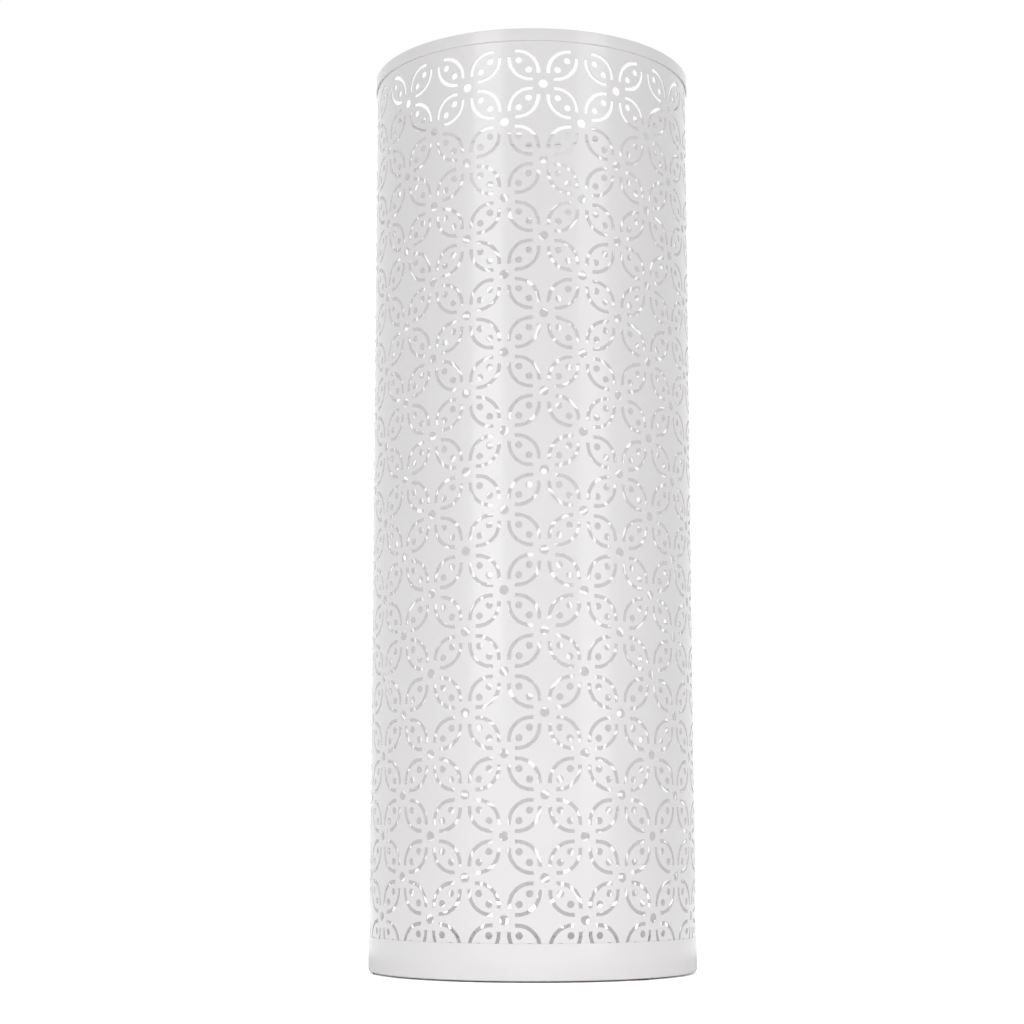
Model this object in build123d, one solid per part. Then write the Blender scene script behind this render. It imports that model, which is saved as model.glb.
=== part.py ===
from build123d import *
import math
import os

# Umbrella stand: a rolled perforated sheet with a capped top edge, on a pressed base pan with push-in feet.
# A drip tray stands loose on the pan's floor and lifts out through the top.
# Millimetres. +Z is up, -Y is the front, and the origin is on the floor at the middle of the stand.
# A turn is an angle in degrees about +Z, from the front towards +X.

# Overall sizes
height = 550.8
shell_diameter = 194.5

# Rolled shell, whose two ends lap along a seam at the back
shell_sheet = 0.8
lap_width = 7.0
lap_end_gap = 1.5
seam_gap = 0.5

# Perforation: rows and columns a pitch apart, with a round hole at every other crossing
pitch = 23.0
pattern_turn = 4.12
hole_diameter = 5.6
rim_to_first_row = 26.2
least_plain_foot = 6.0
least_plain_seam = 10.0

# Cap ring folded over the top edge of the shell
rim_sheet = 1.0
rim_leg = 7.4
rim_edge_radius = 0.7

# Base pan, pressed from one sheet
pan_sheet = 0.5
pan_depth = 20.4
pan_corner_radius = 1.5

# Push-in feet, evenly spaced from the first one's turn
foot_names = ("foot_left", "foot_right", "foot_back")
foot_turn = -78.0
foot_diameter = 12.0
foot_height = 1.0
foot_edge_radius = 0.3
foot_stem_diameter = 5.0
foot_barb_overhang = 1.0
foot_barb_height = 2.0
foot_from_corner = 0.3

# Drip tray
tray_height = 14.5
tray_wall = 1.5
tray_corner_radius = 4.0
tray_lip_radius = 0.6
tray_ring_width = 3.0
tray_ring_from_barb = 10.0

# Clearances
rim_clearance = 0.1
pan_clearance = 0.05
seat_clearance = 0.05
foot_clearance = 0.1
tray_clearance = 1.0
tray_over_barb = 1.0

# Radii and heights that follow from the sizes above
shell_outer = shell_diameter / 2
shell_inner = shell_outer - shell_sheet
rim_outer = shell_outer + rim_clearance + rim_sheet
rim_inner = shell_inner - rim_clearance - rim_sheet
pan_inner = shell_outer + pan_clearance
pan_outer = pan_inner + pan_sheet
tray_outer = min(rim_inner, shell_inner - shell_sheet) - tray_clearance
pan_floor = foot_height + pan_sheet
pan_top = foot_height + pan_depth
pan_inner_corner = pan_corner_radius - pan_sheet
shell_bottom = pan_floor + pan_inner_corner + seat_clearance
shell_top = height - rim_sheet - seat_clearance
rim_bottom = height - rim_leg
foot_barb_diameter = foot_stem_diameter + 2 * foot_barb_overhang
foot_circle = pan_outer - pan_corner_radius - foot_from_corner - foot_diameter / 2
tray_ring_outer = foot_circle - foot_barb_diameter / 2 - tray_ring_from_barb
tray_ring_height = foot_barb_height + tray_over_barb
seam_turn = pattern_turn + 180.0
first_row = rim_bottom - rim_to_first_row
last_row = pan_top + least_plain_foot + hole_diameter / 2
row_count = math.floor((first_row - last_row) / pitch) + 1
columns_each_way = math.floor((math.tau * shell_outer - least_plain_seam) / (2 * pitch))

FROM_BOTTOM = (Align.CENTER, Align.CENTER, Align.MIN)


def disc(radius, bottom, top):
    """A solid round of one radius between two heights."""
    return Pos(0, 0, bottom) * Cylinder(radius, top - bottom, align=FROM_BOTTOM)


def ring(outer, inner, bottom, top):
    """A round wall between two radii and two heights."""
    return disc(outer, bottom, top) - disc(inner, bottom, top)


def circles_at(solid, z):
    """The circular edges of a solid at one height."""
    return solid.edges().filter_by(GeomType.CIRCLE).filter_by_position(Axis.Z, z, z)


def rounded_disc(radius, bottom, top, corner):
    """A disc with its lower edge rounded."""
    plain = disc(radius, bottom, top)
    return fillet(circles_at(plain, bottom), corner)


def arc_strip(outer, inner, bottom, top, turn, width):
    """A strip of a round wall, centred on a turn, whose width is measured along the shell."""
    sweep = math.degrees(width / shell_outer)
    section = Plane.XZ * Pos((outer + inner) / 2, (bottom + top) / 2) * Rectangle(outer - inner, top - bottom)
    strip = revolve(section, axis=Axis.Z, revolution_arc=sweep)
    return Rot(0, 0, turn - 90 - sweep / 2) * strip


def hole_cutters():
    """Short radial rods through the wall, at every other crossing of the pattern's rows and columns."""
    column_turn = math.degrees(pitch / shell_outer)
    rod = Pos(shell_outer, 0, 0) * Rot(0, 90, 0) * Cylinder(hole_diameter / 2, 8 * shell_sheet)
    cutters = []
    for row in range(row_count):
        for column in range(-columns_each_way, columns_each_way + 1):
            if (row + column) % 2 == 0:
                turn = pattern_turn + column * column_turn
                cutters.append(Pos(0, 0, first_row - row * pitch) * Rot(0, 0, turn - 90) * rod)
    return cutters


def perforated_shell():
    """The rolled sheet: its outer end stops at a narrow gap, with its inner end lapped behind it."""
    lap_inner = shell_inner - shell_sheet
    lap_middle = (shell_inner + shell_outer) / 2
    lap_top = rim_bottom - lap_end_gap
    lap_bottom = shell_bottom + lap_end_gap
    wall = ring(shell_outer, shell_inner, shell_bottom, shell_top)
    wall += arc_strip(lap_middle, lap_inner, lap_bottom, lap_top, seam_turn, lap_width)
    wall -= arc_strip(shell_outer + shell_sheet, shell_inner, shell_bottom, shell_top, seam_turn, seam_gap)
    return wall.cut(*hole_cutters())


def top_rim():
    """A channel of folded sheet that caps the shell's top edge, with its upper edges rounded."""
    channel = ring(rim_outer, rim_inner, rim_bottom, height)
    channel -= ring(shell_outer + rim_clearance, shell_inner - rim_clearance, rim_bottom, height - rim_sheet)
    return fillet(circles_at(channel, height), rim_edge_radius)


def base_pan():
    """A round pan with a rounded lower corner, a skirt round the shell's foot and a hole for each foot."""
    pan = rounded_disc(pan_outer, foot_height, pan_top, pan_corner_radius)
    pan -= rounded_disc(pan_inner, pan_floor, pan_top, pan_inner_corner)
    for place in foot_places():
        pan -= place * disc(foot_stem_diameter / 2 + foot_clearance, foot_height, pan_floor)
    return pan


def drip_tray():
    """A shallow cup on a ring that holds it above the feet's barbs, with a rounded lip."""
    cup_bottom = pan_floor + tray_ring_height
    cup_top = pan_floor + tray_height
    inner_corner = tray_corner_radius - tray_wall
    tray = rounded_disc(tray_outer, cup_bottom, cup_top, tray_corner_radius)
    tray -= rounded_disc(tray_outer - tray_wall, cup_bottom + tray_wall, cup_top, inner_corner)
    tray = fillet(circles_at(tray, cup_top), tray_lip_radius)
    return tray + ring(tray_ring_outer, tray_ring_outer - tray_ring_width, pan_floor, cup_bottom + tray_wall / 2)


def foot_places():
    """Where the feet stand, on one circle under the pan's floor."""
    step = 360.0 / len(foot_names)
    return [Rot(0, 0, foot_turn - 90 + step * n) * Pos(foot_circle, 0, 0) for n in range(len(foot_names))]


def foot():
    """A rubber pad below the pan's floor, a stem through it and a tapered barb above it."""
    pad = rounded_disc(foot_diameter / 2, 0, foot_height, foot_edge_radius)
    barb_bottom = pan_floor + seat_clearance
    barb = Pos(0, 0, barb_bottom) * Cone(
        foot_barb_diameter / 2, foot_stem_diameter / 4, foot_barb_height - seat_clearance, align=FROM_BOTTOM
    )
    return pad + disc(foot_stem_diameter / 2, foot_height, barb_bottom) + barb


def all_parts():
    """Each piece of the stand by its name."""
    pieces = {
        "perforated_shell": perforated_shell(),
        "top_rim": top_rim(),
        "base_pan": base_pan(),
        "drip_tray": drip_tray(),
    }
    for name, place in zip(foot_names, foot_places()):
        pieces[name] = place * foot()
    return pieces


os.makedirs("parts", exist_ok=True)
for name, piece in all_parts().items():
    export_step(piece, f"parts/{name}.step")
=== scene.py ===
import math

import bmesh
import bpy
from mathutils import Matrix, Vector


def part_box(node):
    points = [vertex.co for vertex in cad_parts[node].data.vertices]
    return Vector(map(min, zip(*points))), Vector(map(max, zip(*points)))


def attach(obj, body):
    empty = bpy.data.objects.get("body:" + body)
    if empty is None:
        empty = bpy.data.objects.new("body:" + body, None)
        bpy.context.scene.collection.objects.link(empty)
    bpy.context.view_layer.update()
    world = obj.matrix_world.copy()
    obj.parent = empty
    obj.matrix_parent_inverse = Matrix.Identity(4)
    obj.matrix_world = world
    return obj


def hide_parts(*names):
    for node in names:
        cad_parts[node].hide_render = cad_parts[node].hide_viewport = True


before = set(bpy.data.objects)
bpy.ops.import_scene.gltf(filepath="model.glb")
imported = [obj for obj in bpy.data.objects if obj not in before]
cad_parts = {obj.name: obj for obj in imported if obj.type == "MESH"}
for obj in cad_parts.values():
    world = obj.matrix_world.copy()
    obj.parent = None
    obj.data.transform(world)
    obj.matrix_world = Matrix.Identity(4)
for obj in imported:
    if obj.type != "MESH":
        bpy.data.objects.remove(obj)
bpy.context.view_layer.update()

# An umbrella stand of pierced white sheet, in metres, in the frame of its CAD model.
# A turn is an angle about the stand's axis, from the front towards +X.

MM = 0.001
MICRON = 0.000001
UP = Vector((0, 0, 1))


def reach(node):
    """The radius of a round CAD node about its own middle."""
    low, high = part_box(node)
    return max(high[0] - low[0], high[1] - low[1]) / 2


def bottom_and_top(node):
    """The lowest and highest level of a CAD node."""
    low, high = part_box(node)
    return low[2], high[2]


def middle(node):
    """The middle of a CAD node, seen from above."""
    low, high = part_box(node)
    return Vector(((low[0] + high[0]) / 2, (low[1] + high[1]) / 2, 0))


# Sizes read from the frame
shell_radius = reach("perforated_shell")
shell_bottom, shell_top = bottom_and_top("perforated_shell")
rim_radius = reach("top_rim")
rim_bottom, rim_top = bottom_and_top("top_rim")
pan_radius = reach("base_pan")
pan_bottom, pan_top = bottom_and_top("base_pan")
tray_radius = reach("drip_tray")
tray_bottom, tray_top = bottom_and_top("drip_tray")

# Sheets, walls and the rim's clearance
shell_sheet = 0.8 * MM
rim_sheet = 1.0 * MM
rim_clearance = 0.1 * MM
pan_sheet = 0.5 * MM
tray_wall = 1.5 * MM

# The lattice: square fields a pitch wide, each with one petal on a diagonal
pitch = 23.0 * MM
petal_columns = 26
petal_rows = 23
pattern_turn = math.radians(4.12)
rim_to_pattern = 3.2 * MM
crossing_radius = 2.8 * MM
dot_radius = 2.1 * MM
dot_from_middle = 4.14 * MM
slot_radius = 12.75 * MM
slot_crest = 7.0 * MM
slot_width = 2.2 * MM
slot_half_angle = math.radians(50)
pattern_top = rim_bottom - rim_to_pattern
pattern_bottom = pattern_top - petal_rows * pitch
pattern_width = petal_columns * pitch

# The seam, where the sheet's two ends lap
seam_gap = 0.5 * MM
lap_width = 7.0 * MM
lap_end_gap = 1.5 * MM
lap_behind = 0.02 * MM
seam_strip = (math.tau * shell_radius - pattern_width - seam_gap) / 2

# The sheet's texture map, by the name that the export bakes through
map_name = "OFBake"
map_margin = 3.0 * MM
map_wall = 0.4 * MM

# How finely shapes are divided, and how tiles join and edges stay crisp
strips_per_field = 3
flat_within = math.radians(0.1)
crossing_quarter_steps = 3
dot_steps = 12
slot_steps = 7
round_steps = 192
small_round_steps = 48
corner_steps = 6
tile_weld = 2 * MICRON
crisp_from = math.radians(40)

# A face on one of the sheet's two sides looks at least this straight off it, and the wall of a hole doesn't
off_the_sheet = 0.7

# Corners of the rim and the pan
rim_edge = 0.7 * MM
rim_leg_edge = 0.2 * MM
pan_corner = 1.5 * MM
pan_lip = 0.15 * MM

# Tray: its corners, and the ring that it stands on
tray_corner = 4.0 * MM
tray_lip = 0.6 * MM
tray_cup_bottom = 3.0 * MM
tray_ring_radius = 76.5 * MM
tray_ring_width = 3.0 * MM
tray_ring_edge = 0.5 * MM

# Feet
foot_edge = 0.3 * MM
foot_stem_radius = 2.5 * MM
foot_barb_radius = 3.5 * MM
foot_barb_tip_radius = 1.25 * MM
foot_seat = 0.05 * MM

# The photograph's camera
camera_place = Vector((0.0, -1.2946, 0.0830))
camera_tilt = math.radians(8.534)
camera_turn = math.radians(0.544)
camera_lens = 74.77

# Studio light: the glow of each lamp's face, with turns and places as for the stand
room_light = 0.453
background_shade = 1.0
left_lamp_turn = math.radians(-30.5)
left_lamp_width = 0.6
left_lamp_bottom = 0.24
left_glow = 1.69
right_lamp_turn = math.radians(43.5)
right_lamp_width = 0.6
right_lamp_bottom = 0.05
right_glow = 1.27
back_lamp_turn = math.radians(180)
back_lamp_width = 0.8
back_lamp_bottom = 0.12
back_glow = 1.24
strip_lamp_distance = 1.6
strip_lamp_top = 1.45
low_lamp_place = Vector((-0.1, -0.8, 0.05))
low_lamp_aim = Vector((0, 0, 0.05))
low_lamp_width = 1.2
low_lamp_height = 0.3
low_glow = 1.46

# Lamps on the tube's axis: their watts to a metre of the tube, their places and how they crowd to its foot
inner_light = 0.27
inner_lamp_count = 8
inner_lamp_radius = 0.04
inner_lamp_low = 0.04
inner_lamp_high = 0.5
inner_lamp_crowding = 1.2

# Floor: its shade in view, and close to the stand and further off in the light it sends back and in gloss;
# the shades close to the stand are painted light
floor_size = 8.0
floor_shade_in_view = 2.25
# Close to the stand the floor sends back more light: a painted pool of light that brightens the stand's
# foot
bounce_close = 0.3
bounce_off = 0.8
painted_light_pool_shade = 1.25
bounce_shade_off = 0.8
# Close to the stand the floor is darker in gloss: a painted shadow that the stand's coat reflects
gloss_close = 0.14
gloss_off = 0.34
painted_shadow_gloss_shade = 1.1
gloss_shade_off = 1.9

# Noise: its usual detail, its middle and the range that holds most of it
noise_detail = 2.0
noise_middle = 0.5
noise_low = 0.3
noise_high = 0.7

# Powder coat
coat_light = (0.91, 0.893, 0.901)
coat_dark = (0.89, 0.875, 0.882)
coat_cloud_size = 60 * MM
coat_peel_size = 1.3 * MM
coat_peel_detail = 3.0
coat_peel_depth = 7 * MICRON
coat_grain_size = 0.35 * MM
coat_grain_depth = 1.2 * MICRON
coat_wave_size = 45 * MM
coat_wave_stretch = (1, 1, 0.4)
coat_wave_depth = 60 * MICRON
coat_roughness = (0.30, 0.35)
coat_roughness_grain = 0.05
coat_gloss = 1.0
coat_gloss_roughness = 0.14

# Moulded plastic of the tray
plastic_light = (0.78, 0.78, 0.785)
plastic_dark = (0.72, 0.72, 0.725)
plastic_cloud_size = 40 * MM
plastic_grain_size = 0.5 * MM
plastic_grain_detail = 4.0
plastic_grain_depth = 12 * MICRON
plastic_roughness = (0.42, 0.56)

# Rubber of the feet
rubber_light = (0.1, 0.1, 0.1)
rubber_dark = (0.06, 0.06, 0.063)
rubber_dust_size = 3 * MM
rubber_dust_detail = 5.0
rubber_grain_size = 0.4 * MM
rubber_grain_detail = 3.0
rubber_grain_depth = 15 * MICRON
rubber_roughness = (0.6, 0.78)


class Value:
    """A shader value. Arithmetic on it adds Math nodes to its tree."""

    def __init__(self, paint, output):
        self.paint = paint
        self.output = output

    def math(self, operation, *inputs):
        return self.paint.node("ShaderNodeMath", {"operation": operation}, dict(enumerate(inputs)))

    def __add__(self, other):
        return self.math("ADD", self, other)

    def __sub__(self, other):
        return self.math("SUBTRACT", self, other)

    def __rsub__(self, other):
        return self.math("SUBTRACT", other, self)

    def __mul__(self, other):
        return self.math("MULTIPLY", self, other)

    def greater(self, other):
        return self.math("MAXIMUM", self, other)

    __radd__ = __add__
    __rmul__ = __mul__


class Paint:
    """A node tree, and the nodes that are added to it."""

    def __init__(self, tree):
        self.tree = tree

    def node(self, kind, settings=None, inputs=None, output=0):
        """Adds a node, sets it and then feeds its sockets, and gives one of its outputs."""
        node = self.tree.nodes.new(kind)
        for name, value in (settings or {}).items():
            setattr(node, name, value)
        for socket, value in (inputs or {}).items():
            self.feed(node.inputs[socket], value)
        return Value(self, node.outputs[output])

    def feed(self, socket, value):
        """Links a value to a socket, or sets the socket's own value."""
        if isinstance(value, Value):
            self.tree.links.new(value.output, socket)
        else:
            socket.default_value = value

    def place(self):
        """Object coordinates, in metres."""
        return self.node("ShaderNodeTexCoord", output="Object")

    def noise(self, size, detail=noise_detail, stretch=(1, 1, 1)):
        """Soft noise from 0 to 1, whose lumps have about the size given."""
        where = self.node("ShaderNodeMapping", inputs={"Vector": self.place(), "Scale": stretch})
        inputs = {"Vector": where, "Scale": 1 / size, "Detail": detail}
        return self.node("ShaderNodeTexNoise", inputs=inputs)

    def between(self, value, low, high, start=noise_low, end=noise_high):
        """The value's range from start to end, mapped smoothly to low and high."""
        settings = {"interpolation_type": "SMOOTHSTEP"}
        return self.node("ShaderNodeMapRange", settings, {0: value, 1: start, 2: end, 3: low, 4: high})

    def tint(self, mask, first, second):
        """A colour between two, by a mask."""
        inputs = {0: mask, 6: (*first, 1), 7: (*second, 1)}
        return self.node("ShaderNodeMix", {"data_type": "RGBA"}, inputs, output=2)

    def bump(self, height):
        """A normal from a height in metres."""
        return self.node("ShaderNodeBump", inputs={"Height": height, "Distance": 1.0})


def new_material(name):
    """A material, its paint and its shader."""
    material = bpy.data.materials.new(name)
    material.use_nodes = True
    return material, Paint(material.node_tree), material.node_tree.nodes["Principled BSDF"]


def powder_coat(name):
    """Satin powder coat: fine orange peel over a sheet that is very slightly uneven."""
    material, paint, shader = new_material(name)
    cloud = paint.noise(coat_cloud_size)
    peel = paint.noise(coat_peel_size, coat_peel_detail)
    grain = paint.noise(coat_grain_size)
    waves = paint.noise(coat_wave_size, stretch=coat_wave_stretch)
    colour = paint.tint(paint.between(cloud, 0, 1), coat_dark, coat_light)
    roughness = paint.between(cloud, *coat_roughness) + (grain - noise_middle) * coat_roughness_grain
    relief = waves * coat_wave_depth + peel * coat_peel_depth + grain * coat_grain_depth
    paint.feed(shader.inputs["Base Color"], colour)
    paint.feed(shader.inputs["Roughness"], roughness)
    paint.feed(shader.inputs["Normal"], paint.bump(relief))
    shader.inputs["Coat Weight"].default_value = coat_gloss
    shader.inputs["Coat Roughness"].default_value = coat_gloss_roughness
    return material


def moulded_plastic():
    """Matt white polypropylene with a fine spark-eroded grain."""
    material, paint, shader = new_material("moulded_plastic")
    cloud = paint.noise(plastic_cloud_size)
    grain = paint.noise(plastic_grain_size, plastic_grain_detail)
    paint.feed(shader.inputs["Base Color"], paint.tint(cloud, plastic_dark, plastic_light))
    paint.feed(shader.inputs["Roughness"], paint.between(grain, *plastic_roughness))
    paint.feed(shader.inputs["Normal"], paint.bump(grain * plastic_grain_depth))
    return material


def foot_rubber():
    """Dark grey rubber, dull, with a fine moulded grain and a little dust."""
    material, paint, shader = new_material("foot_rubber")
    dust = paint.noise(rubber_dust_size, rubber_dust_detail)
    grain = paint.noise(rubber_grain_size, rubber_grain_detail)
    colour = paint.tint(paint.between(dust, 0, 1), rubber_dark, rubber_light)
    paint.feed(shader.inputs["Base Color"], colour)
    paint.feed(shader.inputs["Roughness"], paint.between(grain, *rubber_roughness))
    paint.feed(shader.inputs["Normal"], paint.bump(grain * rubber_grain_depth))
    return material


def mesh_data(mesh, name):
    """Mesh data from a finished bmesh."""
    data = bpy.data.meshes.new(name)
    mesh.to_mesh(data)
    mesh.free()
    return data


def piece_of(mesh, name, material):
    """An object at the origin, from a finished bmesh."""
    data = mesh_data(mesh, name)
    data.materials.append(material)
    piece = bpy.data.objects.new(name, data)
    bpy.context.scene.collection.objects.link(piece)
    return piece


def settle(piece, body, slot, *nodes):
    """The piece rides on a body and stands for CAD nodes, which it hides; its slot is not used."""
    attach(piece, body)
    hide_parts(*nodes)


def turned(corners, closed, steps=round_steps):
    """A round solid about the Z axis, from an outline of (radius, height, rounding) corners."""
    mesh = bmesh.new()
    outline = [mesh.verts.new((radius, 0, height)) for radius, height, _ in corners]
    following = outline[1:] + outline[:1] if closed else outline[1:]
    for pair in zip(outline, following):
        mesh.edges.new(pair)
    for vert, (_, _, rounding) in zip(outline, corners):
        if rounding:
            bmesh.ops.bevel(
                mesh, geom=[vert], offset=rounding, offset_type="OFFSET", affect="VERTICES",
                segments=corner_steps, profile=0.5, material=-1,
            )
    profile = mesh.verts[:] + mesh.edges[:]
    bmesh.ops.spin(mesh, geom=profile, cent=(0, 0, 0), axis=UP, angle=math.tau, steps=steps, use_merge=True)
    bmesh.ops.remove_doubles(mesh, verts=mesh.verts, dist=MICRON)
    bmesh.ops.recalc_face_normals(mesh, faces=mesh.faces)
    return mesh


def smooth_piece(mesh, name, material):
    """A piece with smooth faces that stay crisp at its sharp edges."""
    piece = piece_of(mesh, name, material)
    piece.data.shade_smooth()
    piece.data.set_sharp_from_angle(angle=crisp_from)
    return piece


def bitten_corner(mesh, corner, start):
    """A quarter of a round hole about a tile's corner: its first and last vertices."""
    first = mesh.verts.new(start)
    arc = bmesh.ops.spin(
        mesh, geom=[first], cent=corner, axis=UP, angle=-math.pi / 2, steps=crossing_quarter_steps
    )
    return first, arc["geom_last"][0]


def tile_edge(mesh, width, height, pierced):
    """The edge of a flat tile, whose pierced corners are bitten by the lattice's round holes."""
    corners = [Vector((0, 0, 0)), Vector((width, 0, 0)), Vector((width, height, 0)), Vector((0, height, 0))]
    ends = []
    for number, corner in enumerate(corners):
        if number in pierced:
            back = (corners[number - 1] - corner).normalized()
            ends.append(bitten_corner(mesh, corner, corner + back * crossing_radius))
        else:
            plain = mesh.verts.new(corner)
            ends.append((plain, plain))
    for (_, last), (next_first, _) in zip(ends, ends[1:] + ends[:1]):
        mesh.edges.new((last, next_first))


def slot_edge(mesh, petal_middle, side):
    """The edge of one curved slot, on one side of a petal that lies along the tile's diagonal."""
    across = Vector((-1, 1, 0)).normalized() * side
    centre = petal_middle + across * (slot_crest - slot_radius)
    start = across.copy()
    start.rotate(Matrix.Rotation(-slot_half_angle, 3, UP))
    ends = []
    for radius in (slot_radius - slot_width / 2, slot_radius + slot_width / 2):
        first = mesh.verts.new(centre + start * radius)
        arc = bmesh.ops.spin(
            mesh, geom=[first], cent=centre, axis=UP, angle=2 * slot_half_angle, steps=slot_steps
        )
        ends.append((first, arc["geom_last"][0]))
    for pair in zip(*ends):
        mesh.edges.new(pair)


def petal_edges(mesh):
    """The edges of a petal's two curved slots and its two dots."""
    petal_middle = Vector((pitch / 2, pitch / 2, 0))
    along = Vector((1, 1, 0)).normalized()
    for side in (-1, 1):
        slot_edge(mesh, petal_middle, side)
        spot = Matrix.Translation(petal_middle + along * (side * dot_from_middle))
        bmesh.ops.create_circle(mesh, cap_ends=False, radius=dot_radius, segments=dot_steps, matrix=spot)


def flat_tile(width, height, pierced=(), petal=False, mirrored=False):
    """A flat tile of the sheet, cut into upright strips so that it can be rolled."""
    mesh = bmesh.new()
    tile_edge(mesh, width, height, pierced)
    if petal:
        petal_edges(mesh)
    bmesh.ops.triangle_fill(mesh, use_beauty=True, edges=mesh.edges[:], normal=UP)
    for cut in range(1, strips_per_field):
        everything = mesh.verts[:] + mesh.edges[:] + mesh.faces[:]
        at = Vector((width * cut / strips_per_field, 0, 0))
        line = bmesh.ops.bisect_plane(mesh, geom=everything, dist=MICRON, plane_co=at, plane_no=(1, 0, 0))
        for edge in [item for item in line["geom_cut"] if isinstance(item, bmesh.types.BMEdge)]:
            edge.seam = True
    # Edges that a flat tile doesn't need go, and the cuts, which are marked as seams, stay
    bmesh.ops.dissolve_limit(
        mesh, angle_limit=flat_within, verts=mesh.verts, edges=mesh.edges, delimit={"SEAM"}
    )
    bmesh.ops.triangulate(mesh, faces=mesh.faces)
    if mirrored:
        bmesh.ops.scale(mesh, vec=(-1, 1, 1), verts=mesh.verts)
        bmesh.ops.translate(mesh, vec=(width, 0, 0), verts=mesh.verts)
    bmesh.ops.recalc_face_normals(mesh, faces=mesh.faces)
    if mesh.faces[:][0].normal.z < 0:
        bmesh.ops.reverse_faces(mesh, faces=mesh.faces)
    return mesh_data(mesh, "tile")


def lay(sheet, tile, x, y):
    """Adds a copy of a tile to the flat sheet, with its lower left corner at x and y."""
    before = len(sheet.verts)
    sheet.from_mesh(tile)
    sheet.verts.ensure_lookup_table()
    bmesh.ops.translate(sheet, vec=(x, y, 0), verts=sheet.verts[before:])


def petal_row(leaning, hole_below, hole_above):
    """One row of petals that lean one way and the other by turns, with a plain strip at each end."""
    low_left, high_right, high_left = 0, 2, 3
    bitten = [corner for corner, hole in ((low_left, hole_below), (high_right, hole_above)) if hole]
    tiles = [flat_tile(pitch, pitch, bitten, petal=True, mirrored=mirrored) for mirrored in (False, True)]
    row = bmesh.new()
    for column in range(petal_columns):
        lay(row, tiles[(column + leaning) % 2], column * pitch, 0)
    end_corner = high_left if leaning else low_left
    end_hole = hole_above if leaning else hole_below
    end_bitten = [end_corner] if end_hole else []
    lay(row, flat_tile(seam_strip, pitch, end_bitten), pattern_width, 0)
    lay(row, flat_tile(seam_strip, pitch, end_bitten, mirrored=True), -seam_strip, 0)
    return mesh_data(row, "petal_row")


def lay_petals(sheet):
    """The lattice: rows of petals with a hole wherever four tips meet, and none along its two ends."""
    inner_rows = [petal_row(leaning, True, True) for leaning in (0, 1)]
    lowest_row = petal_row(petal_rows % 2, False, True)
    highest_row = petal_row(1, True, False)
    for number in range(petal_rows):
        row = inner_rows[(petal_rows - number) % 2]
        if number == 0:
            row = lowest_row
        if number == petal_rows - 1:
            row = highest_row
        lay(sheet, row, 0, number * pitch)


def lay_margins(sheet):
    """The plain margins above and below the lattice, under the rim and behind the pan."""
    lower = pattern_bottom - shell_bottom
    upper = shell_top - pattern_top
    for y, height in ((-lower, lower), (petal_rows * pitch, upper)):
        field = flat_tile(pitch, height)
        end = flat_tile(seam_strip, height)
        for column in range(petal_columns):
            lay(sheet, field, column * pitch, y)
        lay(sheet, end, pattern_width, y)
        lay(sheet, end, -seam_strip, y)


def lap(sheet):
    """The inner end of the sheet, lapped behind the gap at the seam."""
    low = shell_bottom + lap_end_gap - pattern_bottom
    high = rim_bottom - lap_end_gap - pattern_bottom
    strip = flat_tile(lap_width, high - low)
    lay(sheet, strip, pattern_width + seam_strip + seam_gap / 2 - lap_width / 2, low)


def thicken(sheet, outside):
    """Gives a flat sheet its thickness, inwards from a level."""
    bmesh.ops.translate(sheet, vec=(0, 0, outside), verts=sheet.verts)
    back = bmesh.ops.extrude_face_region(sheet, geom=sheet.faces[:], use_keep_orig=True)
    new_verts = [item for item in back["geom"] if isinstance(item, bmesh.types.BMVert)]
    bmesh.ops.translate(sheet, vec=(0, 0, -shell_sheet), verts=new_verts)
    bmesh.ops.recalc_face_normals(sheet, faces=sheet.faces)


def wall_way(vert):
    """The way that the walls at a vertex face, into their hole or off the sheet's edge."""
    walls = [face.normal for face in vert.link_faces if abs(face.normal.z) < off_the_sheet]
    return sum(walls, Vector()).normalized()


def lay_out_map(sheet):
    """A map for textures: fronts below backs, flat as cut, with each wall laid off its front's edge."""
    chart = sheet.loops.layers.uv.new(map_name)
    left = -seam_strip - map_margin
    right = pattern_width + seam_strip + 2 * lap_width + map_margin
    low = shell_bottom - pattern_bottom - map_margin
    high = shell_top - pattern_bottom + map_margin
    for face in sheet.faces:
        lapped = min(vert.co.z for vert in face.verts) < -shell_sheet - lap_behind / 2
        front = -(shell_sheet + lap_behind) if lapped else 0
        flat = abs(face.normal.z) > off_the_sheet
        for loop in face.loops:
            place = loop.vert.co.copy()
            behind = place.z < front - shell_sheet / 2
            if behind and not flat:
                place += wall_way(loop.vert) * map_wall
            if lapped:
                place.x += lap_width
            across = (place.x - left) / (right - left)
            upwards = (place.y - low) / (high - low)
            loop[chart].uv = (across, (upwards + (behind and flat)) / 2)


def roll(sheet):
    """Rolls a flat sheet into the tube, with the lattice's middle at its turn."""
    for vert in sheet.verts:
        turn = pattern_turn + (vert.co.x - pattern_width / 2) / shell_radius
        radius = shell_radius + vert.co.z
        vert.co = (radius * math.sin(turn), -radius * math.cos(turn), pattern_bottom + vert.co.y)


def true_round_normals(data):
    """Normals of a true cylinder on the tube's two faces, whatever triangles they are made of."""
    data.shade_smooth()
    normals = [None] * len(data.loops)
    for face in data.polygons:
        for loop in face.loop_indices:
            place = data.vertices[data.loops[loop].vertex_index].co
            outward = Vector((place.x, place.y, 0)).normalized()
            facing = face.normal.dot(outward)
            on_a_side = abs(facing) > off_the_sheet
            normals[loop] = outward * math.copysign(1, facing) if on_a_side else face.normal
    data.normals_split_custom_set(normals)


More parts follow.
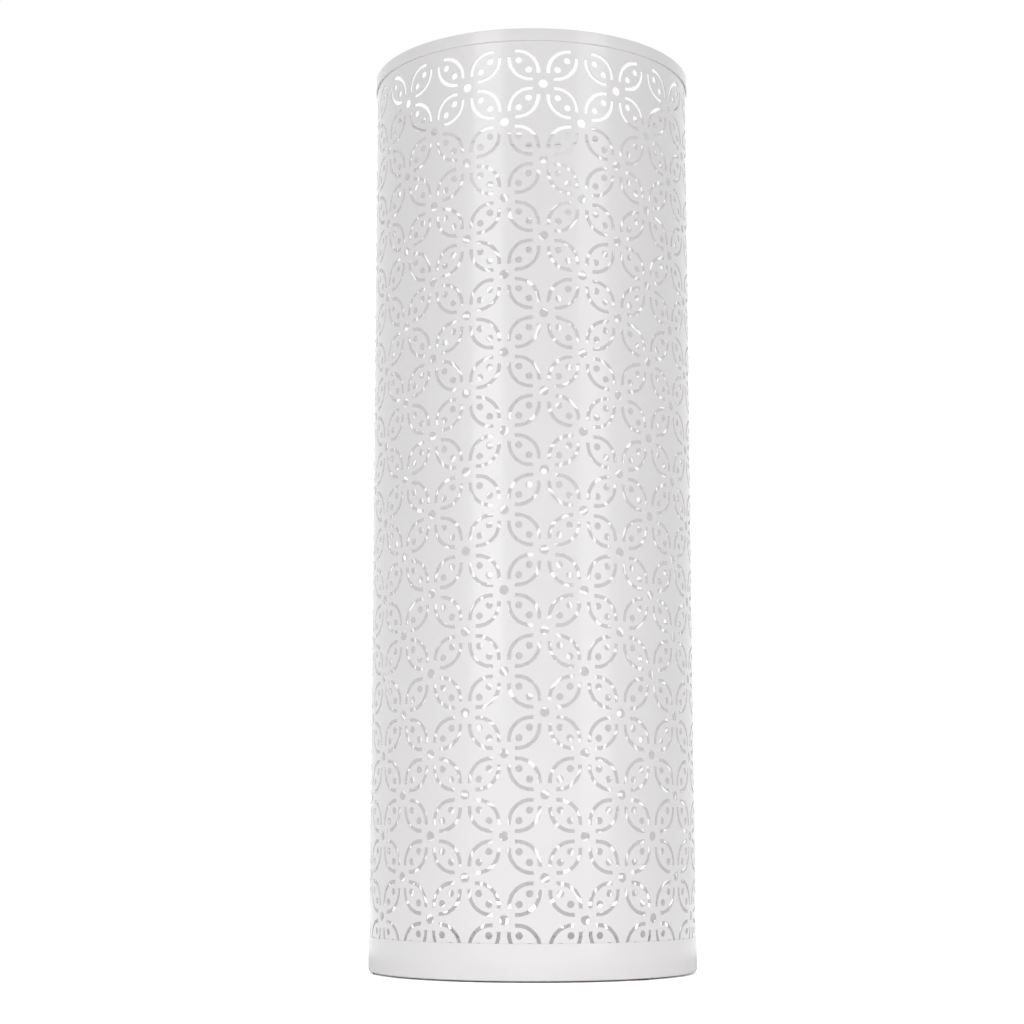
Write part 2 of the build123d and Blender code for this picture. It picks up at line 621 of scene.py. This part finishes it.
def pierced_sheet(material):
    """The tube: one pierced sheet, rolled, with its ends lapped at the back."""
    sheet = bmesh.new()
    lay_petals(sheet)
    lay_margins(sheet)
    bmesh.ops.remove_doubles(sheet, verts=sheet.verts, dist=tile_weld)
    thicken(sheet, 0)
    flap = bmesh.new()
    lap(flap)
    thicken(flap, -shell_sheet - lap_behind)
    sheet.from_mesh(mesh_data(flap, "flap"))
    bmesh.ops.recalc_face_normals(sheet, faces=sheet.faces)
    lay_out_map(sheet)
    roll(sheet)
    piece = piece_of(sheet, "pierced_sheet", material)
    true_round_normals(piece.data)
    settle(piece, "stand", "shell_coat", "perforated_shell")


def cap_ring(material):
    """The folded ring that caps the tube's top edge."""
    inner = shell_radius - shell_sheet - rim_clearance
    outer = shell_radius + rim_clearance
    corners = [
        (outer, rim_bottom, rim_leg_edge),
        (rim_radius, rim_bottom, rim_leg_edge),
        (rim_radius, rim_top, rim_edge),
        (inner - rim_sheet, rim_top, rim_edge),
        (inner - rim_sheet, rim_bottom, rim_leg_edge),
        (inner, rim_bottom, rim_leg_edge),
        (inner, rim_top - rim_sheet, 0),
        (outer, rim_top - rim_sheet, 0),
    ]
    piece = smooth_piece(turned(corners, closed=True), "cap_ring", material)
    settle(piece, "stand", "rim_coat", "top_rim")


def pressed_pan(material):
    """The base: a pressed pan whose skirt goes round the tube's foot."""
    floor = pan_bottom + pan_sheet
    corners = [
        (0, pan_bottom, 0),
        (pan_radius, pan_bottom, pan_corner),
        (pan_radius, pan_top, pan_lip),
        (pan_radius - pan_sheet, pan_top, pan_lip),
        (pan_radius - pan_sheet, floor, pan_corner - pan_sheet),
        (0, floor, 0),
    ]
    piece = smooth_piece(turned(corners, closed=False), "pressed_pan", material)
    settle(piece, "stand", "pan_coat", "base_pan")


def moulded_tray(material):
    """The loose drip tray, on the ring that it stands on."""
    cup = tray_bottom + tray_cup_bottom
    inside = tray_radius - tray_wall
    corners = [
        (0, cup, 0),
        (tray_ring_radius - tray_ring_width, cup, tray_ring_edge),
        (tray_ring_radius - tray_ring_width, tray_bottom, tray_ring_edge),
        (tray_ring_radius, tray_bottom, tray_ring_edge),
        (tray_ring_radius, cup, tray_ring_edge),
        (tray_radius, cup, tray_corner),
        (tray_radius, tray_top, tray_lip),
        (inside, tray_top, tray_lip),
        (inside, cup + tray_wall, tray_corner - tray_wall),
        (0, cup + tray_wall, 0),
    ]
    piece = smooth_piece(turned(corners, closed=False), "moulded_tray", material)
    settle(piece, "tray", "tray_plastic", "drip_tray")


def push_in_foot(node, material):
    """A rubber foot: a pad under the pan, a stem through it and a barb above it."""
    bottom, top = bottom_and_top(node)
    barb = pan_bottom + pan_sheet + foot_seat
    corners = [
        (0, bottom, 0),
        (reach(node), bottom, foot_edge),
        (reach(node), pan_bottom, 0),
        (foot_stem_radius, pan_bottom, 0),
        (foot_stem_radius, barb, 0),
        (foot_barb_radius, barb, 0),
        (foot_barb_tip_radius, top, 0),
        (0, top, 0),
    ]
    mesh = turned(corners, closed=False, steps=small_round_steps)
    bmesh.ops.translate(mesh, vec=middle(node), verts=mesh.verts)
    piece = smooth_piece(mesh, f"rubber_{node}", material)
    settle(piece, "stand", "foot_rubber", node)


def by_ray(paint, in_view, in_gloss, otherwise):
    """A value that differs for what is seen straight, for what shows in gloss and for other light."""
    path = paint.node("ShaderNodeLightPath", output="Is Camera Ray")
    rays = path.output.node.outputs
    gloss = Value(paint, rays["Is Glossy Ray"]).greater(Value(paint, rays["Is Transmission Ray"]))
    return path * in_view + gloss * in_gloss + (1 - path.greater(gloss)) * otherwise


def studio_floor():
    """A white floor that keeps the stand's shadow."""
    mesh = bmesh.new()
    bmesh.ops.create_grid(mesh, x_segments=1, y_segments=1, size=floor_size / 2)
    material, paint, shader = new_material("floor_white")
    paint.tree.nodes.remove(shader)
    length = {"operation": "LENGTH"}
    distance = paint.node("ShaderNodeVectorMath", length, {0: paint.place()}, output="Value")
    # Painted pool of light: the floor sends back more light close to the stand
    bounce_with_painted_light_pool = paint.between(distance, painted_light_pool_shade, bounce_shade_off, bounce_close, bounce_off)
    # Painted shadow: the floor is darker in gloss close to the stand
    gloss = paint.between(distance, painted_shadow_gloss_shade, gloss_shade_off, gloss_close, gloss_off)
    shade = by_ray(paint, floor_shade_in_view, gloss, bounce_with_painted_light_pool)
    colour = paint.node("ShaderNodeCombineColor", inputs={"Red": shade, "Green": shade, "Blue": shade})
    surface = paint.node("ShaderNodeBsdfDiffuse", inputs={"Color": colour})
    paint.feed(paint.tree.nodes["Material Output"].inputs["Surface"], surface)
    piece_of(mesh, "studio_floor", material)


def room():
    """Even white light from all sides, and a white background."""
    world = bpy.data.worlds.new("room")
    world.use_nodes = True
    bpy.context.scene.world = world
    paint = Paint(world.node_tree)
    background = world.node_tree.nodes["Background"]
    background.inputs["Color"].default_value = (1, 1, 1, 1)
    paint.feed(background.inputs["Strength"], by_ray(paint, background_shade, background_shade, room_light))


def soft_lamp(name, place, aim, width, height, glow):
    """A soft rectangular lamp, out of the camera's sight, whose face has the glow given."""
    lamp = bpy.data.lights.new(name, "AREA")
    lamp.shape = "RECTANGLE"
    lamp.size = width
    lamp.size_y = height
    lamp.energy = glow * math.pi * width * height
    holder = bpy.data.objects.new(name, lamp)
    holder.location = place
    holder.rotation_euler = (aim - place).to_track_quat("-Z", "Y").to_euler()
    holder.visible_camera = False
    bpy.context.scene.collection.objects.link(holder)
    return holder


def strip_lamp(name, turn, width, bottom, glow):
    """A tall lamp at a turn about the stand, which the coat shows as an upright streak."""
    level = UP * (strip_lamp_top + bottom) / 2
    place = Vector((math.sin(turn), -math.cos(turn), 0)) * strip_lamp_distance + level
    soft_lamp(name, place, level, width, strip_lamp_top - bottom, glow)


def low_lamp():
    """A low, wide lamp before the stand, which lights it without showing in its coat."""
    lamp = soft_lamp("low_lamp", low_lamp_place, low_lamp_aim, low_lamp_width, low_lamp_height, low_glow)
    lamp.visible_glossy = False


def inner_lamps():
    """Weak lamps on the tube's axis, closer near its foot, for the light that a white room sends in."""
    for number in range(inner_lamp_count):
        share = (number / (inner_lamp_count - 1)) ** inner_lamp_crowding
        lamp = bpy.data.lights.new("inner_lamp", "POINT")
        lamp.shadow_soft_size = inner_lamp_radius
        lamp.energy = inner_light * (rim_top - pan_top) / inner_lamp_count
        holder = bpy.data.objects.new("inner_lamp", lamp)
        holder.location = UP * (inner_lamp_low + share * (inner_lamp_high - inner_lamp_low))
        holder.visible_camera = False
        holder.visible_glossy = False
        bpy.context.scene.collection.objects.link(holder)


def camera():
    """The photograph's view, from low in front."""
    data = bpy.data.cameras.new("camera")
    data.lens = camera_lens
    view = bpy.data.objects.new("camera", data)
    view.location = camera_place
    view.rotation_euler = (math.pi / 2 + camera_tilt, 0, camera_turn)
    bpy.context.scene.collection.objects.link(view)
    bpy.context.scene.camera = view


bpy.context.scene.view_settings.view_transform = "Standard"
camera()
room()
studio_floor()
strip_lamp("left_lamp", left_lamp_turn, left_lamp_width, left_lamp_bottom, left_glow)
strip_lamp("right_lamp", right_lamp_turn, right_lamp_width, right_lamp_bottom, right_glow)
strip_lamp("back_lamp", back_lamp_turn, back_lamp_width, back_lamp_bottom, back_glow)
low_lamp()
inner_lamps()

pierced_sheet(powder_coat("shell_coat"))
cap_ring(powder_coat("rim_coat"))
pressed_pan(powder_coat("pan_coat"))
moulded_tray(moulded_plastic())
rubber = foot_rubber()
for foot_node in ("foot_left", "foot_right", "foot_back"):
    push_in_foot(foot_node, rubber)
